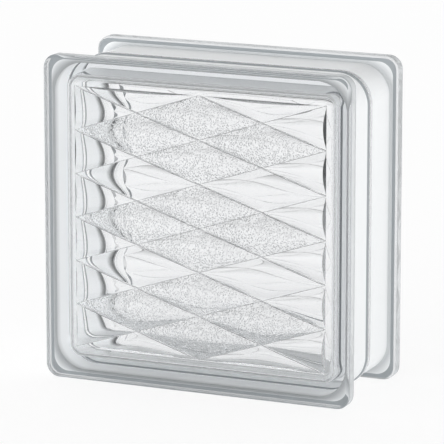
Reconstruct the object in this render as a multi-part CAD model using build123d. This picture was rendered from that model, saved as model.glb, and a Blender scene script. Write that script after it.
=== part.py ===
from build123d import *
from math import atan, cos, radians, sin, tan
import os

# Hollow pressed-glass building block, standing on one edge.
# Millimetres, +Z up. The origin is at the middle of the underside.
# X runs along the width and Y through the wall: the front face looks towards -Y.
# The block is two equal pressed dishes, fused hot, rim to rim, at mid depth.
# Each dish is modelled lying on its face, with its rim up, and then stood in place.

# Whole block
block_width = 190.0
block_height = 190.0
block_depth = 80.0

# Face flange: the edge of the face plate, which stands out past the side walls
flange_thickness = 8.6
flange_corner_radius = 8.0
face_edge_radius = 1.8
flange_back_radius = 1.2
flange_foot_radius = 1.2

# Mortar channel round the four edges, between the two flanges
channel_depth = 4.6
wall_corner_radius = 18.0

# Round bead along the seam, where the glass of the two rims has flowed together
bead_half_width = 3.5
bead_rise = 0.8

# Inside of a dish
pane_thickness = 10.3
wall_at_pane = 7.4
wall_draft = 3.0
cavity_corner_radius = 7.4
pane_fillet_radius = 5.0

# Diamond lattice pressed into the inner face of each pane: scoops that meet in sharp ridges
diamonds_across = 2
diamonds_high = 6
lattice_side_margin = 0.1
lattice_end_margin = 1.2
ridge_drop = 0.3
scoop_depth = 2.2
scoop_flatness = 0.39
flank_slope = 57.0
tool_clearance = 1.0


def rounded_plate(inset, radius, thickness, level):
    """Plate with round corners, set in from the block's outline, on a level."""
    outline = RectangleRounded(block_width - 2 * inset, block_height - 2 * inset, radius)
    return Pos(0, 0, level) * extrude(outline, amount=thickness)


def edges_at(solid, level):
    """Edges that lie whole in one level plane."""
    return solid.edges().filter_by_position(Axis.Z, level, level)


def face_plate():
    """Face plate of a dish, with its outer edges rounded front and back."""
    plate = rounded_plate(0, flange_corner_radius, flange_thickness, 0)
    plate = fillet(edges_at(plate, 0), face_edge_radius)
    return fillet(edges_at(plate, flange_thickness), flange_back_radius)


def side_wall():
    """Full body of the side walls, from inside the face plate up to the rim."""
    root = flange_thickness / 2
    return rounded_plate(channel_depth, wall_corner_radius, block_depth / 2 - root, root)


def rim_path(inset, radius, level):
    """Closed path round a dish, set in from the block's outline, on a level."""
    outline = RectangleRounded(block_width - 2 * inset, block_height - 2 * inset, radius)
    return (Pos(0, 0, level) * outline).face().outer_wire()


def bead_section():
    """Half of the bead's section, at the middle of the right side wall: an arc over its chord."""
    radius = (bead_half_width**2 + bead_rise**2) / (2 * bead_rise)
    wall = block_width / 2 - channel_depth
    seam = block_depth / 2
    half_sweep = atan(bead_half_width / (radius - bead_rise)) / 2
    centre = wall + bead_rise - radius
    root = wall - bead_rise
    foot = (wall, 0, seam - bead_half_width)
    belly = (centre + radius * cos(half_sweep), 0, seam - radius * sin(half_sweep))
    crest = (wall + bead_rise, 0, seam)
    round_side = ThreePointArc(foot, belly, crest)
    back = Polyline(crest, (root, 0, seam), (root, 0, seam - bead_half_width), foot)
    return make_face(round_side + back)


def seam_bead():
    """Half bead, swept round the rim of a dish."""
    return sweep(bead_section(), rim_path(channel_depth, wall_corner_radius, block_depth / 2))


def fillet_start():
    """Distance of the pane's flat inner face from the foot of the drafted walls."""
    lean = radians(wall_draft)
    return pane_fillet_radius * (1 / cos(lean) - tan(lean))


def hollow_section():
    """Section of the hollow along its right side: drafted wall, fillet and a strip of pane."""
    lean = radians(wall_draft)
    half_turn = (radians(90) - lean) / 2
    wall = block_width / 2 - channel_depth - wall_at_pane
    seam = block_depth / 2
    radius = pane_fillet_radius
    centre_x = wall - fillet_start()
    centre_z = pane_thickness + radius
    inner = wall - (fillet_start() + cavity_corner_radius) / 2
    on_pane = (centre_x, 0, pane_thickness)
    on_round = (centre_x + radius * sin(half_turn), 0, centre_z - radius * cos(half_turn))
    on_wall = (centre_x + radius * cos(lean), 0, centre_z - radius * sin(lean))
    at_seam = (wall + (seam - pane_thickness) * tan(lean), 0, seam)
    round_side = ThreePointArc(on_pane, on_round, on_wall)
    rest = Polyline(on_wall, at_seam, (inner, 0, seam), (inner, 0, pane_thickness), on_pane)
    return make_face(round_side + rest)


def cavity():
    """Hollow of a dish: the section swept round its walls, and the space between them."""
    inset = channel_depth + wall_at_pane
    walls = sweep(hollow_section(), rim_path(inset, cavity_corner_radius, pane_thickness))
    strip = (3 * fillet_start() + cavity_corner_radius) / 4
    depth = block_depth / 2 - pane_thickness
    middle = rounded_plate(inset + strip, cavity_corner_radius - strip, depth, pane_thickness)
    return walls + middle


def plain_dish():
    """A dish without its lattice."""
    dish = face_plate() + side_wall()
    flange_back = dish.faces().filter_by_position(Axis.Z, flange_thickness, flange_thickness)
    foot = flange_back.sort_by(SortBy.AREA)[-1].inner_wires()[0]
    dish = fillet(foot.edges(), flange_foot_radius)
    return dish + seam_bead() - cavity()


def lattice_size():
    """Width and height of the patterned field, inside the fillet round the pane."""
    border = channel_depth + wall_at_pane + pane_fillet_radius
    width = block_width - 2 * (border + lattice_side_margin)
    height = block_height - 2 * (border + lattice_end_margin)
    return width, height


def lattice_point(column, row, level):
    """Place in the lattice, counted in half diamonds from the middle of the field."""
    width, height = lattice_size()
    x = column * width / (2 * diamonds_across)
    y = row * height / (2 * diamonds_high)
    return Vector(x, y, level)


def scoop_face(column, row, level):
    """Scoop over one diamond: straight along its four sides, deepest at its middle.

    Its depth is scoop_depth times g(s) times g(t), where s and t run from -1 to 1 between
    opposite sides, and g(s) is (1 - s squared) times (1 + scoop_flatness times s squared).
    Five points each way hold that form.
    """
    left = lattice_point(column - 1, row, level)
    top = lattice_point(column, row + 1, level)
    bottom = lattice_point(column, row - 1, level)
    shoulder = 1 + scoop_flatness
    middle = 4 * (1 - scoop_flatness) / 3
    weights = [0, shoulder, middle, shoulder, 0]
    net = []
    for i, weight in enumerate(weights):
        start = left + (bottom - left) * (i / 4)
        line = []
        for j, other in enumerate(weights):
            place = start + (top - left) * (j / 4)
            line.append(place - Vector(0, 0, scoop_depth * weight * other))
        net.append(line)
    return Face.make_bezier_surface(net)


def lattice_outline(level):
    """Zigzag round the outermost whole diamonds, corner by corner."""
    columns = diamonds_across
    rows = diamonds_high
    corners = []
    for step in range(rows):
        corners.append((-columns, 2 * step - rows))
        corners.append((-columns - 1, 2 * step + 1 - rows))
    for step in range(columns):
        corners.append((2 * step - columns, rows))
        corners.append((2 * step + 1 - columns, rows + 1))
    for step in range(rows):
        corners.append((columns, rows - 2 * step))
        corners.append((columns + 1, rows - 2 * step - 1))
    for step in range(columns):
        corners.append((columns - 2 * step, -rows))
        corners.append((columns - 2 * step - 1, -rows - 1))
    return [lattice_point(column, row, level) for column, row in corners]


def pressing_tool():
    """The plunger's end that presses a pane: a bulge for each scoop, under a flat back."""
    ridge_level = pane_thickness - ridge_drop
    back_level = pane_thickness + tool_clearance
    faces = []
    for column in range(-diamonds_across, diamonds_across + 1):
        for row in range(-diamonds_high, diamonds_high + 1):
            if (column + diamonds_across + row + diamonds_high) % 2 == 1:
                faces.append(scoop_face(column, row, ridge_level))
    lower = lattice_outline(ridge_level)
    upper = lattice_outline(back_level)
    for here in range(len(upper)):
        there = (here + 1) % len(upper)
        side = Wire.make_polygon([lower[here], lower[there], upper[there], upper[here]])
        faces.append(Face(side))
    faces.append(Face(Wire.make_polygon(upper)))
    return Solid(Shell(faces)) & field_block()


def field_block():
    """Block over the patterned field, with sloping flanks below the pane's inner face."""
    width, height = lattice_size()
    inner_face = Plane(origin=(0, 0, pane_thickness), z_dir=(0, 0, -1))
    outline = inner_face * Rectangle(width, height)
    below = extrude(outline, amount=ridge_drop + 1.5 * scoop_depth, taper=90 - flank_slope)
    above = extrude(outline, amount=-2 * tool_clearance)
    return below + above


def stand_dish(dish, facing):
    """Stand a dish on edge, its face towards -Y (facing -1) or +Y (facing 1)."""
    place = Plane(
        origin=(0, facing * block_depth / 2, block_height / 2),
        x_dir=(-facing, 0, 0),
        z_dir=(0, -facing, 0),
    )
    return place * dish


pressed_dish = plain_dish() - pressing_tool()

nodes = {
    "front_half": stand_dish(pressed_dish, -1),
    "rear_half": stand_dish(pressed_dish, 1),
}

os.makedirs("parts", exist_ok=True)
for name, shape in nodes.items():
    solids = shape.solids()
    solid = solids[0]
    print(name, len(solids), "solid", round(solid.volume), "mm3", solid.bounding_box())
    export_step(solid, f"parts/{name}.step")
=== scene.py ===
import math
import bpy
import numpy as np
from mathutils import Matrix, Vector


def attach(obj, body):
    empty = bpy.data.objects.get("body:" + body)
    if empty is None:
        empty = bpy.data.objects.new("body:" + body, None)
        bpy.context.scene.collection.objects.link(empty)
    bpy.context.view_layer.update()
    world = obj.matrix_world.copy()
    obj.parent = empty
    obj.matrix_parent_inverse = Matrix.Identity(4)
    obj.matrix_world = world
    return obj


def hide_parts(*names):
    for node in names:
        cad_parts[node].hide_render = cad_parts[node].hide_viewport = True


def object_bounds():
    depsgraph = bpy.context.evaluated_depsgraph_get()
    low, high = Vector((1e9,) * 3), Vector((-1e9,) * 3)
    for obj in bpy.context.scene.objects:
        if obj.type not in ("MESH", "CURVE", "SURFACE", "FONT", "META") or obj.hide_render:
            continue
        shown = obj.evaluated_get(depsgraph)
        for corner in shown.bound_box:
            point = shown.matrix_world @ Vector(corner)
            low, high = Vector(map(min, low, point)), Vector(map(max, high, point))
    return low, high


# Hollow glass block: two pressed dishes fused at the seam, with a diamond lattice inside each pane.
# Each small diamond of the lattice is a scoop, and the scoops meet in sharp ridges.
# +Z up, the front face looks towards -Y. Shapes are worked out in millimetres as numpy arrays.

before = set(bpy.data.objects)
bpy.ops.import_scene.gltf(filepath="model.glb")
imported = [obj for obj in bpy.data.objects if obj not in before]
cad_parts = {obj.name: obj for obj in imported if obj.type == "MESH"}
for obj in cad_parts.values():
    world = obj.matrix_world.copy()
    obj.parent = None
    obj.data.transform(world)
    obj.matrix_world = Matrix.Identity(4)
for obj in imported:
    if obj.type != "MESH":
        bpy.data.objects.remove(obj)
cadLow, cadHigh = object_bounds()
print("frame loaded, size in mm", [round((b - a) * 1000, 2) for a, b in zip(cadLow, cadHigh)])

mm = 0.001
halfWide = (cadHigh.x - cadLow.x) / 2 / mm
halfHigh = (cadHigh.z - cadLow.z) / 2 / mm
halfDeep = (cadHigh.y - cadLow.y) / 2 / mm
middleZ = (cadHigh.z + cadLow.z) / 2 / mm

# What each mask says of a face, from 0 to 1: its stipple, its coating, how white the coating is against a
# grey of painted shade, and how much painted shade darkens the coating seen from inside the glass
masks = ("stipple", "coated", "white", "shade")

# The channel walls carry a white coating. Painted shade: the grey on the flanges' backs, edges and bead,
# the half grey at the foot, the dark coat on the lattice's side flanks and every shade level. A mask that a
# finish doesn't name is 0
finishes = {
    "bare": {},
    "edge": {"coated": 0.85, "white": 0.2, "shade": 0.8},
    "rim": {"coated": 0.6, "white": 0.66, "shade": 0.9},
    "flank": {"coated": 1.0},
    "patch": {"coated": 1.0, "white": 1.0},
    "foot": {"coated": 1.0, "white": 0.5, "shade": 1.0},
    "wallEnd": {"coated": 1.0, "white": 1.0, "shade": 1.0},
    "wallShade": {"coated": 1.0, "white": 1.0, "shade": 0.6},
    "wall": {"coated": 1.0, "white": 1.0},
    "beadEdge": {"coated": 1.0, "shade": 0.5},
    "latticeSide": {"coated": 0.9, "shade": 1.0},
}


def newSheets():
    # Sheets are collected here: points, their normals, the masks, and faces as corner numbers
    sheets = {"points": [], "normals": [], "quads": [], "tris": [], "scoopPlace": [], "count": 0}
    sheets.update({mask: [] for mask in masks})
    return sheets


def addSheet(sheets, points, normals, quads, tris=None, finish=None, scoopPlace=0.0):
    # Adds one smooth sheet. Sheets that share an edge are joined later, but keep their own normals there
    finish = finish or {}
    points = np.asarray(points, float).reshape(-1, 3)
    normals = np.asarray(normals, float).reshape(-1, 3)
    sheets["points"].append(points)
    sheets["normals"].append(np.broadcast_to(normals, points.shape))
    for mask in masks:
        level = np.asarray(finish.get(mask, 0.0), float)
        sheets[mask].append(np.broadcast_to(level, len(points)))
    sheets["scoopPlace"].append(np.broadcast_to(np.asarray(scoopPlace, float), points.shape))
    sheets["quads"].append(np.asarray(quads, int).reshape(-1, 4) + sheets["count"])
    if tris is not None:
        sheets["tris"].append(np.asarray(tris, int).reshape(-1, 3) + sheets["count"])
    sheets["count"] += len(points)


def gridQuads(rows, columns, closed):
    # Quads (i, j), (i, j + 1), (i + 1, j + 1), (i + 1, j) of a grid of points; a closed grid joins its last
    # column to its first
    j = np.arange(columns if closed else columns - 1)
    i = np.arange(rows - 1)[:, None]
    k = (j + 1) % columns
    here, above = i * columns, (i + 1) * columns
    return np.stack([here + j, here + k, above + k, above + j], axis=-1)


# The outside of a dish: flange, channel wall and half of the fused bead. Lengths are in millimetres
outside = {
    "flangeThickness": 8.6,
    "flangeCorner": 8.0,
    "faceEdge": 1.8,
    "flangeBack": 1.2,
    "flangeFoot": 1.2,
    "channelDepth": 4.6,
    "wallCorner": 18.0,
    "beadHalfWidth": 3.5,
    "beadRise": 0.8,
    "bareUntil": -30.0,     # turn on the face's edge where the coat's painted shade line starts, in degrees
    "lineFrom": -15.0,      # turn where that line is full
    "edgeLine": 0.6,        # its width beyond the edge
    "patchCorner": 12.0,    # corner radius of the painted shade grey on the flange's back
    "greyShort": 0.3,       # the painted shade grey stops this short of the flange's foot
    "whiteFrom": 1.2,       # the wall is white from here, above the foot's painted shade
    "shadeReach": 9.0,      # the wall's painted inner shade ends here
    "evenShade": 0.3,       # share of the painted shade that the whole outline gets
    "beadCoatEnds": 0.5,    # the bead's painted shade coat ends here, as a share of its sweep from the crest
    "beadBareFrom": 0.4,    # and from here to the crest it is bare
    "faceRings": (1.0, 0.97, 0.66, 0.33),
    "cornerSteps": 24,
    "arcSteps": 8,
    "edgeBareSteps": 6,
    "beadCoatSteps": 3,
    "beadBareSteps": 4,
}


def arcRun(centre, radius, fromAngle, toAngle, steps, side=1):
    # Points centre + radius x (cos a, sin a); normals point away from the centre (side 1) or towards it (-1)
    angle = np.radians(np.linspace(fromAngle, toAngle, steps + 1))
    direction = np.stack([np.cos(angle), np.sin(angle)], axis=1)
    return np.asarray(centre) + radius * direction, side * direction


def roundedLoop(offset, corner, steps):
    # The block's outline from the front, moved outwards by the offset: four quarter circles, each
    # centre + corner x (cos a, sin a), with the straight sides as the gaps between them
    angle = np.radians(np.linspace(0, 90, steps + 1))
    points = []
    normals = []
    for sx, sz, start in ((1, -1, -90), (1, 1, 0), (-1, 1, 90), (-1, -1, 180)):
        turned = angle + math.radians(start)
        direction = np.stack([np.cos(turned), np.sin(turned)], axis=1)
        centre = np.array([sx * (halfWide + offset - corner), sz * (halfHigh + offset - corner)])
        points.append(centre + corner * direction)
        normals.append(direction)
    return np.concatenate(points), np.concatenate(normals)


def faceStretches():
    # Round edge of the face, first bare and then under a dark line of painted shade, and the flange's side,
    # partly coated and greyed with painted shade, with the round edge at its back
    s = outside
    thickness, edge, back = s["flangeThickness"], s["faceEdge"], s["flangeBack"]
    sideways = np.array([[1.0, 0.0]])
    return [
        ("bare", "flange", arcRun((-edge, edge), edge, -90, s["bareUntil"], s["edgeBareSteps"])),
        ("edge", "flange", arcRun((-edge, edge), edge, s["lineFrom"], 0, 1)),
        ("rim", "flange", (np.array([[0.0, edge + s["edgeLine"]]]), sideways)),
        ("rim", "flange", arcRun((-back, thickness - back), back, 0, 90, s["arcSteps"])),
    ]


def flankStretches():
    # Back of the flange, with its painted shade grey band, and the fillet at its foot, darker with painted
    # shade
    s = outside
    thickness, foot = s["flangeThickness"], s["flangeFoot"]
    corner = foot - s["channelDepth"]
    backwards = np.array([[0.0, 1.0]])
    return [
        ("flank", "flange", (np.array([[-s["flangeBack"], thickness]]), backwards)),
        ("flank", "patch", (np.array([[corner + s["greyShort"], thickness]]), backwards)),
        ("patch", "patch", (np.array([[corner + s["greyShort"] / 2, thickness]]), backwards)),
        ("foot", "wall", arcRun((corner, thickness + foot), foot, 270, 180, s["arcSteps"], side=-1)),
    ]


def wallStretches():
    # Flat channel wall, from the flange's foot to the bead, with painted shade that fades out from the foot
    s = outside
    wall = -s["channelDepth"]
    start = s["flangeThickness"] + s["flangeFoot"]
    sideways = np.array([[1.0, 0.0]])
    return [
        ("foot", "wall", (np.array([[wall, start]]), sideways)),
        ("wallEnd", "wall", (np.array([[wall, start + s["whiteFrom"]]]), sideways)),
        ("wallShade", "wall", (np.array([[wall, start + s["shadeReach"] / 2]]), sideways)),
        ("wall", "wall", (np.array([[wall, start + s["shadeReach"]]]), sideways)),
        ("wall", "wall", (np.array([[wall, halfDeep - s["beadHalfWidth"]]]), sideways)),
    ]


def beadStretches():
    # Half of the bead: an arc over its chord, with radius = (half width squared + rise squared) / (2 x rise)
    # and sweep = arc sine of half width / radius
    s = outside
    half, rise = s["beadHalfWidth"], s["beadRise"]
    radius = (half ** 2 + rise ** 2) / (2 * rise)
    sweep = math.degrees(math.asin(half / radius))
    centre = (rise - s["channelDepth"] - radius, halfDeep)
    # The bead's edges are coated grey and darker with painted shade; its crest is bare glass
    return [
        ("beadEdge", "wall", arcRun(centre, radius, -sweep, -s["beadCoatEnds"] * sweep, s["beadCoatSteps"])),
        ("bare", "wall", arcRun(centre, radius, -s["beadBareFrom"] * sweep, 0, s["beadBareSteps"])),
    ]


def cornerOf(kind, offset):
    # Corner radius of the loop at an offset: radius at the outline + offset, round the flange's own corner,
    # round the painted shade grey on its back, or round the wall
    if kind == "flange":
        return outside["flangeCorner"] + offset
    if kind == "patch":
        return outside["patchCorner"] + offset
    return outside["wallCorner"] + outside["channelDepth"] + offset


def placeLoop(loop, depth, facing):
    # Puts a flat loop at its depth behind the front face (facing -1) or the rear face (facing 1), where
    # y = facing x (half of the block's depth - depth)
    y =np.full(len(loop), facing * (halfDeep - depth))
    return np.stack([loop[:, 0], y, middleZ + loop[:, 1]], axis=1)


def placeNormals(direction, outward, inward, facing):
    # Normals of a loop: outward x its flat direction, and inward along the block's depth
    y = np.full(len(direction), -facing * inward)
    return np.stack([outward * direction[:, 0], y, outward * direction[:, 1]], axis=1)


def loopFinish(finish, direction, facing):
    # Mask levels round one loop. The painted shade is even and weak on the front dish, and on the rear dish
    # it grows where the wall looks sideways: even + (1 - even) x |nx|
    levels = {mask: np.full(len(direction), finishes[finish].get(mask, 0.0)) for mask in masks}
    lean = abs(direction[:, 0]) if facing > 0 else 0.0
    levels["shade"] = levels["shade"] * (outside["evenShade"] + (1 - outside["evenShade"]) * lean)
    return levels


def addSkin(sheets, stretches, facing):
    # One smooth run of the section, swept round the block. A stretch is (finish, corner kind, (points,
    # normals)), and a point is (offset outwards from the outline, distance from the face)
    rows = []
    rowNormals = []
    rowFinish = {mask: [] for mask in masks}
    for finish, kind, (points, normals) in stretches:
        for (offset, depth), (outward, inward) in zip(points, normals):
            loop, direction = roundedLoop(offset, cornerOf(kind, offset), outside["cornerSteps"])
            rows.append(placeLoop(loop, depth, facing))
            rowNormals.append(placeNormals(direction, outward, inward, facing))
            for mask, levels in loopFinish(finish, direction, facing).items():
                rowFinish[mask].append(levels)
    quads = gridQuads(len(rows), len(rows[0]), True)
    rowFinish = {mask: np.concatenate(levels) for mask, levels in rowFinish.items()}
    addSheet(sheets, np.array(rows), np.array(rowNormals), quads, finish=rowFinish)


def addFace(sheets, facing):
    # The flat face: rings of the outline, each scaled towards the middle, and a fan of triangles inside them
    edge = -outside["faceEdge"]
    loop, _ = roundedLoop(edge, cornerOf("flange", edge), outside["cornerSteps"])
    rings = np.array([placeLoop(loop * scale, 0, facing) for scale in outside["faceRings"]])
    count = len(loop)
    points = np.concatenate([rings.reshape(-1, 3), placeLoop(np.zeros((1, 2)), 0, facing)])
    last = (len(rings) - 1) * count
    around = np.arange(count)
    middle = np.full(count, len(points) - 1)
    fan = np.stack([last + around, last + (around + 1) % count, middle], axis=1)
    addSheet(sheets, points, (0, facing, 0), gridQuads(len(rings), count, True), fan)


def addOutside(sheets, facing):
    # The whole outside of one dish, from its face to the seam
    for stretches in (faceStretches(), flankStretches(), wallStretches(), beadStretches()):
        addSkin(sheets, stretches, facing)
    addFace(sheets, facing)


# The hollow of a dish: drafted walls, the fillet round the pane and the lattice. Lengths are in millimetres
inside = {
    "paneThickness": 10.3,
    "wallAtPane": 7.4,
    "draft": 3.0,           # degrees
    "cornerRadius": 7.4,
    "paneFillet": 5.0,
    "sideMargin": 0.1,
    "endMargin": 1.2,
    "ridgeDrop": 0.3,
    "diamondsAcross": 2,
    "diamondsHigh": 6,
    "stippleEvery": 4,      # rows from one large stippled diamond to the next
    "scoopDepth": 2.2,
    "scoopFlatness": 0.39,
    "flankSlope": 57.0,     # degrees
    "sideShadeFrom": 30.0,  # dark painted shade on the lattice's side flanks starts this far below the middle
    "sideShadeFade": 70.0,  # and in full this much higher
    "leastRoom": 1e-9,      # keeps a scoop's tip from dividing by zero
    "diamondSteps": 32,
    "cornerHalfSteps": 8,
    "filletSteps": 8,
    "wallSteps": 2,
}

# Directions along and out of each side of the hollow, anticlockwise from the lowest, as (x, z)
sideTurns = (((1, 0), (0, -1)), ((0, 1), (1, 0)), ((-1, 0), (0, 1)), ((0, -1), (-1, 0)))


def latticeSize():
    # Half width and half height of the patterned field: the block's half size less border and margin
    border = outside["channelDepth"] + inside["wallAtPane"] + inside["paneFillet"]
    return halfWide - border - inside["sideMargin"], halfHigh - border - inside["endMargin"]


def isStippled(column, row):
    # Three large diamonds of four small ones, one above the other
    return column == 0 or (abs(column) == 1 and row % inside["stippleEvery"] == 0)


def scoopRun(s):
    # The scoop's run from one side to the other: (1 - s squared)(1 + flatness x s squared), and its slope
    k = inside["scoopFlatness"]
    return (1 - s ** 2) * (1 + k * s ** 2), 2 * s * (k - 1 - 2 * k * s ** 2)


def flankReach(w):
    # How far the flank reaches in over a halved scoop, w from -1 to 1 along the field's edge: the scoop's
    # depth there / tan(slope)
    run, _ = scoopRun(w)
    return inside["scoopDepth"] * run ** 2 / math.tan(math.radians(inside["flankSlope"]))


def pullIn(near, beside, half, sign):
    # Halved scoop: moves its points in from the field's edge, so that the outermost lie at the flank's foot.
    # near + reach x (room - near), where the room left beside a point is 1 - |beside|
    room = np.maximum(1 - abs(beside), inside["leastRoom"])
    reach = np.minimum(flankReach(beside) / half / room, 1.0)
    return -sign * (abs(near) + reach * (room - abs(near)))


def scoopFaces(column, row):
    # Quads of the scoop's grid. On the field's edge only the inner half stays, with triangles along the cut
    n = inside["diamondSteps"]
    i, j = np.meshgrid(np.arange(n), np.arange(n), indexing="ij")
    a, b = i * (n + 1) + j, (i + 1) * (n + 1) + j
    c, d = b + 1, a + 1
    whole = np.ones((n, n), bool)
    if column == -inside["diamondsAcross"]:
        whole, cut, corners = i + j >= n, i + j == n - 1, (b, c, d)
    elif column == inside["diamondsAcross"]:
        whole, cut, corners = i + j <= n - 2, i + j == n - 1, (a, b, d)
    elif row == inside["diamondsHigh"]:
        whole, cut, corners = i < j, i == j, (a, c, d)
    elif row == -inside["diamondsHigh"]:
        whole, cut, corners = i > j, i == j, (a, b, c)
    else:
        cut, corners = np.zeros((n, n), bool), (a, b, c)
    return np.stack([a, b, c, d], axis=-1)[whole], np.stack(corners, axis=-1)[cut]


def addScoop(sheets, column, row, facing):
    # One small diamond: its depth is scoopDepth x run(s) x run(t), with s and t from -1 to 1 between opposite
    # sides, s = across + up and t = across - up. Scoops on the field's edge are halved along their diagonal
    n = inside["diamondSteps"]
    fieldX, fieldZ = latticeSize()
    halfX, halfZ = fieldX / inside["diamondsAcross"], fieldZ / inside["diamondsHigh"]
    s, t = np.meshgrid(np.linspace(-1, 1, n + 1), np.linspace(-1, 1, n + 1), indexing="ij")
    across, up = (s + t) / 2, (s - t) / 2
    if abs(column) == inside["diamondsAcross"]:
        across = pullIn(across, up, halfX, np.sign(column))
    if abs(row) == inside["diamondsHigh"]:
        up = pullIn(up, across, halfZ, np.sign(row))
    (runS, slopeS), (runT, slopeT) = scoopRun(across + up), scoopRun(across - up)
    deepest = inside["scoopDepth"]
    level = inside["paneThickness"] - inside["ridgeDrop"]
    x = (column + across) * halfX
    y = facing * (halfDeep - level + deepest * runS * runT)
    z = middleZ + (row + up) * halfZ
    slopeX = -deepest * (slopeS * runT + runS * slopeT) / halfX
    slopeZ = -deepest * (slopeS * runT - runS * slopeT) / halfZ
    points = np.stack([x, y, z], axis=-1)
    normals = np.stack([-slopeX, np.full_like(x, -facing), -slopeZ], axis=-1)
    place = np.stack([across + up, across - up, np.ones_like(up)], axis=-1).reshape(-1, 3)
    quads, tris = scoopFaces(column, row)
    finish = {"stipple": float(isStippled(column, row))}
    addSheet(sheets, points, normals, quads, tris, finish, place)


def addLattice(sheets, facing):
    # Every diamond of the field, whole or halved: they stand at every second place, like one chess colour
    across, high = inside["diamondsAcross"], inside["diamondsHigh"]
    for column in range(-across, across + 1):
        for row in range(-high, high + 1):
            if (column + row + across + high) % 2 == 1:
                addScoop(sheets, column, row, facing)


def sideLoop(halfX, halfZ, corner, side):
    # One side of a rounded rectangle, from the middle of one corner to the middle of the next, with u along
    # the side and v out of it. Round a corner, with a from -45 degrees to 0, u = corner x sin a - flat,
    # mirrored at the other end, and v = out - corner + corner x cos a. The number of points follows the
    # lattice's own edge
    half = inside["cornerHalfSteps"]
    count = inside["diamondSteps"] * (inside["diamondsAcross"] if side % 2 == 0 else inside["diamondsHigh"])
    along, out = (halfX, halfZ) if side % 2 == 0 else (halfZ, halfX)
    if corner == 0:
        u, v = np.linspace(-along, along, count + 1), np.full(count + 1, out)
        du, dv = np.zeros(count + 1), np.ones(count + 1)
    else:
        angle = np.radians(np.linspace(-45, 0, half + 1))
        sine, cosine = np.sin(angle), np.cos(angle)
        flat = along - corner
        straight = np.linspace(-flat, flat, count - 2 * half + 1)[1:-1]
        du = np.concatenate([sine, np.zeros(len(straight)), -sine[::-1]])
        dv = np.concatenate([cosine, np.ones(len(straight)), cosine[::-1]])
        u = np.concatenate([corner * sine - flat, straight, flat - corner * sine[::-1]])
        v = out - corner + corner * dv
    (ux, uz), (vx, vz) = sideTurns[side]
    points = np.stack([u * ux + v * vx, u * uz + v * vz], axis=1)
    direction = np.stack([du * ux + dv * vx, du * uz + dv * vz], axis=1)
    return points, direction


def hollowSection():
    # Section from the pane's flat border up to the seam: (offset outwards, depth, outward and inward part of
    # the normal). Fillet: offset = shift + f sin w, depth = pane + f - f cos w. Wall: offset = (depth - pane)
    # x tan draft
    lift, pane, f = math.radians(inside["draft"]), inside["paneThickness"], inside["paneFillet"]
    shift = f * math.tan(lift) - f / math.cos(lift)
    swing = np.radians(np.linspace(0, 90 - inside["draft"], inside["filletSteps"] + 1))
    section = []
    for w in swing:
        section.append((shift + f * math.sin(w), pane + f - f * math.cos(w), -math.sin(w), math.cos(w)))
    for depth in np.linspace(section[-1][1], halfDeep, inside["wallSteps"] + 1)[1:]:
        section.append(((depth - pane) * math.tan(lift), depth, -math.cos(lift), math.sin(lift)))
    return section


def addFlank(sheets, side, facing):
    # The sloping edge of the lattice on one side. Its foot lies in from the field's edge by flankReach(w), as
    # deep as the halved scoops are there, and its rim lies on the pane. The rim is given back
    n = inside["diamondSteps"]
    fieldX, fieldZ = latticeSize()
    if side % 2 == 0:
        count, halfBeside = inside["diamondsAcross"], fieldZ / inside["diamondsHigh"]
    else:
        count, halfBeside = inside["diamondsHigh"], fieldX / inside["diamondsAcross"]
    outward = np.array(sideTurns[side][1])
    edge, _ = sideLoop(fieldX, fieldZ, 0, side)
    w = np.append(np.tile(np.linspace(-1, 1, n + 1)[:-1], count), -1.0)
    reach = flankReach(w)
    runS, _ = scoopRun(w - reach / halfBeside)
    runT, _ = scoopRun(w + reach / halfBeside)
    low = placeLoop(edge - reach[:, None] * outward, inside["paneThickness"] - inside["ridgeDrop"], facing)
    low[:, 1] += facing * inside["scoopDepth"] * runS * runT
    rim = placeLoop(edge, inside["paneThickness"], facing)
    normals = np.cross(np.gradient(low, axis=0), rim - low)
    normals *= -np.sign(normals @ np.array([outward[0], 0, outward[1]]))[:, None]
    # Painted shade: a dark coat on the left and right flanks, full high up and gone below the middle
    coated = np.clip((edge[:, 1] + inside["sideShadeFrom"]) / inside["sideShadeFade"], 0, 1) * (side % 2)
    finish = {mask: np.tile(coated, 2) * level for mask, level in finishes["latticeSide"].items()}
    addSheet(sheets, np.array([low, rim]), np.array([normals, normals]), gridQuads(2, len(edge), False),
             finish=finish)
    return rim


def addHollow(sheets, facing):
    # Side by side: the lattice's flank, the pane's plain border, the fillet and the drafted wall to the seam
    wallX = halfWide - outside["channelDepth"] - inside["wallAtPane"]
    wallZ = halfHigh - outside["channelDepth"] - inside["wallAtPane"]
    corner = inside["cornerRadius"]
    section = hollowSection()
    shift = section[0][0]
    for side in range(4):
        rim = addFlank(sheets, side, facing)
        ring, _ = sideLoop(wallX + shift, wallZ + shift, corner + shift, side)
        border = np.array([rim, placeLoop(ring, inside["paneThickness"], facing)])
        addSheet(sheets, border, (0, -facing, 0), gridQuads(2, len(rim), False))
        rows = []
        rowNormals = []
        for offset, depth, outward, inward in section:
            loop, direction = sideLoop(wallX + offset, wallZ + offset, corner + offset, side)
            rows.append(placeLoop(loop, depth, facing))
            rowNormals.append(placeNormals(direction, outward, inward, facing))
        addSheet(sheets, np.array(rows), np.array(rowNormals), gridQuads(len(rows), len(rim), False))


def facesOutwards(points, normals, faces):
    # Turns each face whose corners run the wrong way round: where (its own cross product) . (its normals) < 0
    corner = points[faces]
    if faces.shape[1] == 4:
        cross = np.cross(corner[:, 2] - corner[:, 0], corner[:, 3] - corner[:, 1])
    else:
        cross = np.cross(corner[:, 1] - corner[:, 0], corner[:, 2] - corner[:, 0])
    wrong = (cross * normals[faces].mean(axis=1)).sum(axis=1) < 0
    faces = faces.copy()
    faces[wrong] = faces[wrong][:, ::-1]
    return faces


# Points nearer than this, in millimetres, are one
joinWithin = 0.0001


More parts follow.
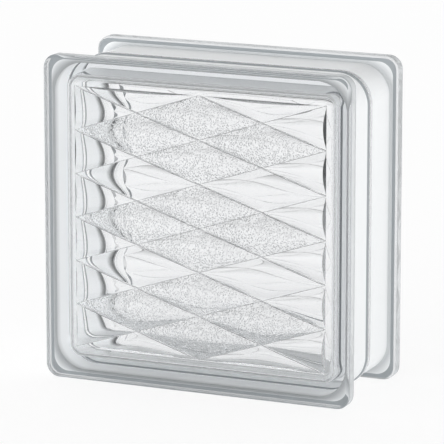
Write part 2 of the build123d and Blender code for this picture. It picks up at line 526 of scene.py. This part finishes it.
def buildMesh(name, sheets):
    # Joins the sheets where their points, rounded to joinWithin, are the same. Every face corner gets its
    # exact normal and its masks
    points = np.concatenate(sheets["points"])
    normals = np.concatenate(sheets["normals"])
    normals = normals / np.linalg.norm(normals, axis=1)[:, None]
    quads = facesOutwards(points, normals, np.concatenate(sheets["quads"]))
    tris = facesOutwards(points, normals, np.concatenate(sheets["tris"]))
    corners = np.concatenate([quads.ravel(), tris.ravel()])
    used = np.unique(corners)
    key = np.round(points[used] / joinWithin).astype(np.int64)
    _, first, joined = np.unique(key, axis=0, return_index=True, return_inverse=True)
    first = used[first]
    toJoined = np.zeros(len(points), int)
    toJoined[used] = joined.ravel()
    starts = np.concatenate([np.arange(len(quads)) * 4, len(quads) * 4 + np.arange(len(tris)) * 3])
    mesh = bpy.data.meshes.new(name)
    mesh.vertices.add(len(first))
    mesh.vertices.foreach_set("co", (points[first] * mm).astype(np.float32).ravel())
    mesh.loops.add(len(corners))
    mesh.loops.foreach_set("vertex_index", toJoined[corners].astype(np.int32))
    mesh.polygons.add(len(starts))
    mesh.polygons.foreach_set("loop_start", starts.astype(np.int32))
    mesh.update(calc_edges=True)
    for mask in masks:
        levels = np.concatenate(sheets[mask])[corners].astype(np.float32)
        mesh.attributes.new(mask, "FLOAT", "CORNER").data.foreach_set("value", levels)
    places = np.concatenate(sheets["scoopPlace"])[corners].astype(np.float32)
    mesh.attributes.new("scoopPlace", "FLOAT_VECTOR", "CORNER").data.foreach_set("vector", places.ravel())
    mesh.shade_smooth()
    mesh.normals_split_custom_set(normals[corners])
    piece = bpy.data.objects.new(name, mesh)
    bpy.context.scene.collection.objects.link(piece)
    print(name, len(first), "points", len(quads) * 2 + len(tris), "triangles")
    return piece


def addNode(tree, kind, feeds=None, **settings):
    # A shader node with its settings. Each socket named in feeds takes a value or another node's output. The
    # node's outputs are given back
    node = tree.nodes.new("ShaderNode" + kind)
    for name, value in settings.items():
        setattr(node, name, value)
    for socket, source in (feeds or {}).items():
        if isinstance(source, bpy.types.NodeSocket):
            tree.links.new(source, node.inputs[socket])
        else:
            node.inputs[socket].default_value = source
    return node.outputs


def readMask(tree, mask):
    # A mask of the mesh, as a number
    return addNode(tree, "Attribute", attribute_name=mask)["Fac"]


def mixShaders(tree, share, first, second):
    # (1 - share) x first + share x second
    return addNode(tree, "MixShader", {0: share, 1: first, 2: second})[0]


def mixColours(tree, share, first, second):
    # (1 - share) x first + share x second
    return addNode(tree, "Mix", {"Factor": share, "A": first, "B": second}, data_type="RGBA")["Result"]


def newMaterial(name):
    # A material with an empty node tree
    material = bpy.data.materials.new(name)
    material.use_nodes = True
    material.node_tree.nodes.clear()
    return material, material.node_tree


# The glass and its coating, with the coating's colours of painted shade. Bump heights are in metres
glass = {
    "tint": (0.995, 0.997, 1.0, 1.0),
    "ior": 1.52,
    "absorbColour": (0.78, 0.81, 0.84, 1.0),
    "absorbDensity": 10.0,
    "dotsPerMetre": 1300.0,
    "dotReach": 0.6,
    "dotHeight": 0.00022,
    "ridgeHeight": 0.00028,
    "ridgeHalfWidth": 0.04,  # of a scoop's half width
    "softerRidge": 0.024,    # taken off |t|, so that the ridges at the t sides are softer
    "whiteCoat": (0.925, 0.94, 0.947, 1.0),
    # The grey and the dark coat colours are painted shade on the white coating
    "paintedShadeGrey": (0.39, 0.417, 0.435, 1.0),
    "paintedShadeDark": (0.04, 0.045, 0.048, 1.0),
    "outerThrough": 0.08,    # share of the coat's light that comes through it, seen from outside
    "innerThrough": 0.5,     # and seen from inside the glass
}


def stippleNormal(tree):
    # Round dots on the stippled diamonds: height = 1 - smoothstep(distance to the dot's middle / reach). The
    # dots are spread over X and Z only, so that the curved scoop doesn't cut them into rings
    place = addNode(tree, "TexCoord")["Object"]
    flat = addNode(tree, "VectorMath", {0: place, 1: (1.0, 0.0, 1.0)}, operation="MULTIPLY")[0]
    distance = addNode(tree, "TexVoronoi", {"Vector": flat, "Scale": glass["dotsPerMetre"]})["Distance"]
    reach = {"Value": distance, "From Max": glass["dotReach"], "To Min": 1.0, "To Max": 0.0}
    height = addNode(tree, "MapRange", reach, interpolation_type="SMOOTHSTEP")[0]
    bump = {"Height": height, "Strength": readMask(tree, "stipple"), "Distance": glass["dotHeight"]}
    return addNode(tree, "Bump", bump)["Normal"]


def ridgeNormal(tree, under):
    # Rounded crest of each ridge, laid over the normal under it: height = smoothstep of the larger of |s| and
    # (|t| - softer), from 1 - half width to 1
    place = addNode(tree, "Attribute", attribute_name="scoopPlace")["Vector"]
    size = addNode(tree, "VectorMath", {0: place}, operation="ABSOLUTE")[0]
    st = addNode(tree, "SeparateXYZ", {0: size})
    softer = addNode(tree, "Math", {0: st["Y"], 1: glass["softerRidge"]}, operation="SUBTRACT")[0]
    nearest = addNode(tree, "Math", {0: st["X"], 1: softer}, operation="MAXIMUM")[0]
    crest = {"Value": nearest, "From Min": 1 - glass["ridgeHalfWidth"]}
    height = addNode(tree, "MapRange", crest, interpolation_type="SMOOTHSTEP")[0]
    bump = {"Height": height, "Normal": under, "Distance": glass["ridgeHeight"]}
    return addNode(tree, "Bump", bump)["Normal"]


def clearGlass(tree):
    # Clear pressed glass with its fine relief
    return addNode(tree, "BsdfPrincipled", {
        "Base Color": glass["tint"],
        "Transmission Weight": 1.0,
        "Roughness": 0.0,
        "IOR": glass["ior"],
        "Normal": ridgeNormal(tree, stippleNormal(tree)),
    })[0]


def wallCoat(tree):
    # Thin coat, from painted shade grey to white by its mask, darker from inside the glass with painted shade
    # by the shade mask. It shows (1 - through) x the light in front of it + through x the light behind it
    fromInside = addNode(tree, "NewGeometry")["Backfacing"]
    colour = mixColours(tree, readMask(tree, "white"), glass["paintedShadeGrey"], glass["whiteCoat"])
    dark = addNode(tree, "Math", {0: fromInside, 1: readMask(tree, "shade")}, operation="MULTIPLY")[0]
    shaded = mixColours(tree, dark, colour, glass["paintedShadeDark"])
    share = {"Value": fromInside, "To Min": glass["outerThrough"], "To Max": glass["innerThrough"]}
    through = addNode(tree, "MapRange", share)[0]
    front = addNode(tree, "BsdfDiffuse", {"Color": shaded})[0]
    behind = addNode(tree, "BsdfTranslucent", {"Color": shaded})[0]
    return mixShaders(tree, through, front, behind)


def glassMaterial():
    # (1 - coated) x clear glass + coated x coat, with a little grey in the body of the glass
    material, tree = newMaterial("pressedGlass")
    surface = mixShaders(tree, readMask(tree, "coated"), clearGlass(tree), wallCoat(tree))
    body = {"Color": glass["absorbColour"], "Density": glass["absorbDensity"]}
    volume = addNode(tree, "VolumeAbsorption", body)[0]
    addNode(tree, "OutputMaterial", {"Surface": surface, "Volume": volume})
    return material


sheets = newSheets()
for facing in (-1, 1):
    addOutside(sheets, facing)
    addLattice(sheets, facing)
    addHollow(sheets, facing)
block = buildMesh("glass_block", sheets)
block.data.materials.append(glassMaterial())
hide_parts("front_half", "rear_half")
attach(block, "root")

# The studio, in metres and degrees. The tent and the sky give a level at heights from 0, the horizon, to 1,
# straight up
studio = {
    "floorSize": 6.0,
    "floorColour": (0.93, 0.93, 0.93, 1.0),
    "floorGlow": 0.4,
    "floorLit": 1.1,
    "floorSeen": 1.25,
    "floorWhite": 1.04,
    "whiteShare": 0.8,
    "plainWhite": (1.0, 1.0, 1.0, 1.0),
    "tent": (
        (0.0, 0.95), (0.1, 0.82), (0.2, 0.6), (0.3, 0.28),
        (0.38, 0.05), (0.6, 0.0), (0.8, 0.18), (1.0, 0.6),
    ),
    "sky": ((0.0, 1.9), (0.3, 1.62), (0.6, 0.7), (1.0, 0.1)),
    "highestLevel": 2.0,
    "leftGain": 1.7,
    "cameraPlace": (0.8221, -1.8410, 0.5372),
    "lookAzimuth": 24.079,
    "lookDown": 12.448,
    "lens": 290.65,
    "sensor": 36.0,
    "nearest": 0.01,
    "farthest": 50.0,
}


def seenInGlass(tree):
    # 1 for a ray that has met only clear glass on its way from the camera, 0 for light on a matt surface:
    # the largest of camera, glossy and transmission, less diffuse, less the number of diffuse bounces
    path = addNode(tree, "LightPath")
    seen = path["Is Camera Ray"]
    for kind in ("Is Glossy Ray", "Is Transmission Ray"):
        seen = addNode(tree, "Math", {0: seen, 1: path[kind]}, operation="MAXIMUM")[0]
    for matt in ("Is Diffuse Ray", "Diffuse Depth"):
        seen = addNode(tree, "Math", {0: seen, 1: path[matt]}, operation="SUBTRACT", use_clamp=True)[0]
    return path["Is Camera Ray"], seen


def studioFloor():
    # A matt floor with a glow of its own: (1 - glow) x matt + glow x level. The camera sees it as
    # (1 - share) x matt + share x white, so that it stays pale and still shows the block's shadow
    half = studio["floorSize"] / 2
    corners = [(-half, -half, 0), (half, -half, 0), (half, half, 0), (-half, half, 0)]
    mesh = bpy.data.meshes.new("studioFloor")
    mesh.from_pydata(corners, [], [(0, 1, 2, 3)])
    floor = bpy.data.objects.new("studioFloor", mesh)
    bpy.context.scene.collection.objects.link(floor)
    material, tree = newMaterial("paleFloor")
    cameraRay, seen = seenInGlass(tree)
    matt = addNode(tree, "BsdfDiffuse", {"Color": studio["floorColour"]})[0]
    levels = {"Value": seen, "To Min": studio["floorLit"], "To Max": studio["floorSeen"]}
    glow = addNode(tree, "Emission", {"Strength": addNode(tree, "MapRange", levels)[0]})[0]
    white = addNode(tree, "Emission", {"Strength": studio["floorWhite"]})[0]
    lit = mixShaders(tree, studio["floorGlow"], matt, glow)
    pale = mixShaders(tree, studio["whiteShare"], matt, white)
    addNode(tree, "OutputMaterial", {"Surface": mixShaders(tree, cameraRay, lit, pale)})
    mesh.materials.append(material)


def heightLevel(tree, height, stops):
    # A level that changes with the height of the direction, in straight lines between the stops
    above = addNode(tree, "MapRange", {"Value": height})[0]
    levels = tree.nodes.new("ShaderNodeFloatCurve")
    levels.mapping.clip_max_y = studio["highestLevel"]
    curve = levels.mapping.curves[0]
    for spot, (place, level) in enumerate(stops):
        if spot in (0, len(stops) - 1):
            curve.points[0 if spot == 0 else -1].location = (place, level)
        else:
            curve.points.new(place, level)
    for point in curve.points:
        point.handle_type = "VECTOR"
    levels.mapping.update()
    tree.links.new(above, levels.inputs["Value"])
    return levels.outputs[0]


def studioWorld():
    # Light by height: the sky lights the block and the floor, and is brighter towards -X by a gain; the tent
    # is what shows in clear glass. The camera itself sees plain white
    world = bpy.data.worlds.new("studioWorld")
    bpy.context.scene.world = world
    world.use_nodes = True
    tree = world.node_tree
    tree.nodes.clear()
    cameraRay, seen = seenInGlass(tree)
    direction = addNode(tree, "SeparateXYZ", {0: addNode(tree, "TexCoord")["Generated"]})
    leftwards = {"Value": direction["X"], "From Max": -1.0, "To Min": 1.0, "To Max": studio["leftGain"]}
    gain = addNode(tree, "MapRange", leftwards)[0]
    height = heightLevel(tree, direction["Z"], studio["sky"])
    sky = addNode(tree, "Math", {0: height, 1: gain}, operation="MULTIPLY")[0]
    tent = heightLevel(tree, direction["Z"], studio["tent"])
    shades = []
    for strength in (sky, tent, 1.0):
        shade = {"Color": studio["plainWhite"], "Strength": strength}
        shades.append(addNode(tree, "Background", shade)[0])
    lit = mixShaders(tree, seen, shades[0], shades[1])
    addNode(tree, "OutputWorld", {"Surface": mixShaders(tree, cameraRay, lit, shades[2])})


def studioCamera():
    # The camera turns by its azimuth about +Z and looks down a little, with no roll
    data = bpy.data.cameras.new("studioCamera")
    data.lens = studio["lens"]
    data.sensor_width = studio["sensor"]
    data.clip_start = studio["nearest"]
    data.clip_end = studio["farthest"]
    camera = bpy.data.objects.new("studioCamera", data)
    bpy.context.scene.collection.objects.link(camera)
    tilt = Matrix.Rotation(math.radians(90 - studio["lookDown"]), 4, "X")
    turn = Matrix.Rotation(math.radians(studio["lookAzimuth"]), 4, "Z")
    camera.matrix_world = Matrix.Translation(studio["cameraPlace"]) @ turn @ tilt
    bpy.context.scene.camera = camera


studioFloor()
studioWorld()
studioCamera()
bpy.context.scene.view_settings.view_transform = "Standard"
print("studio ready")
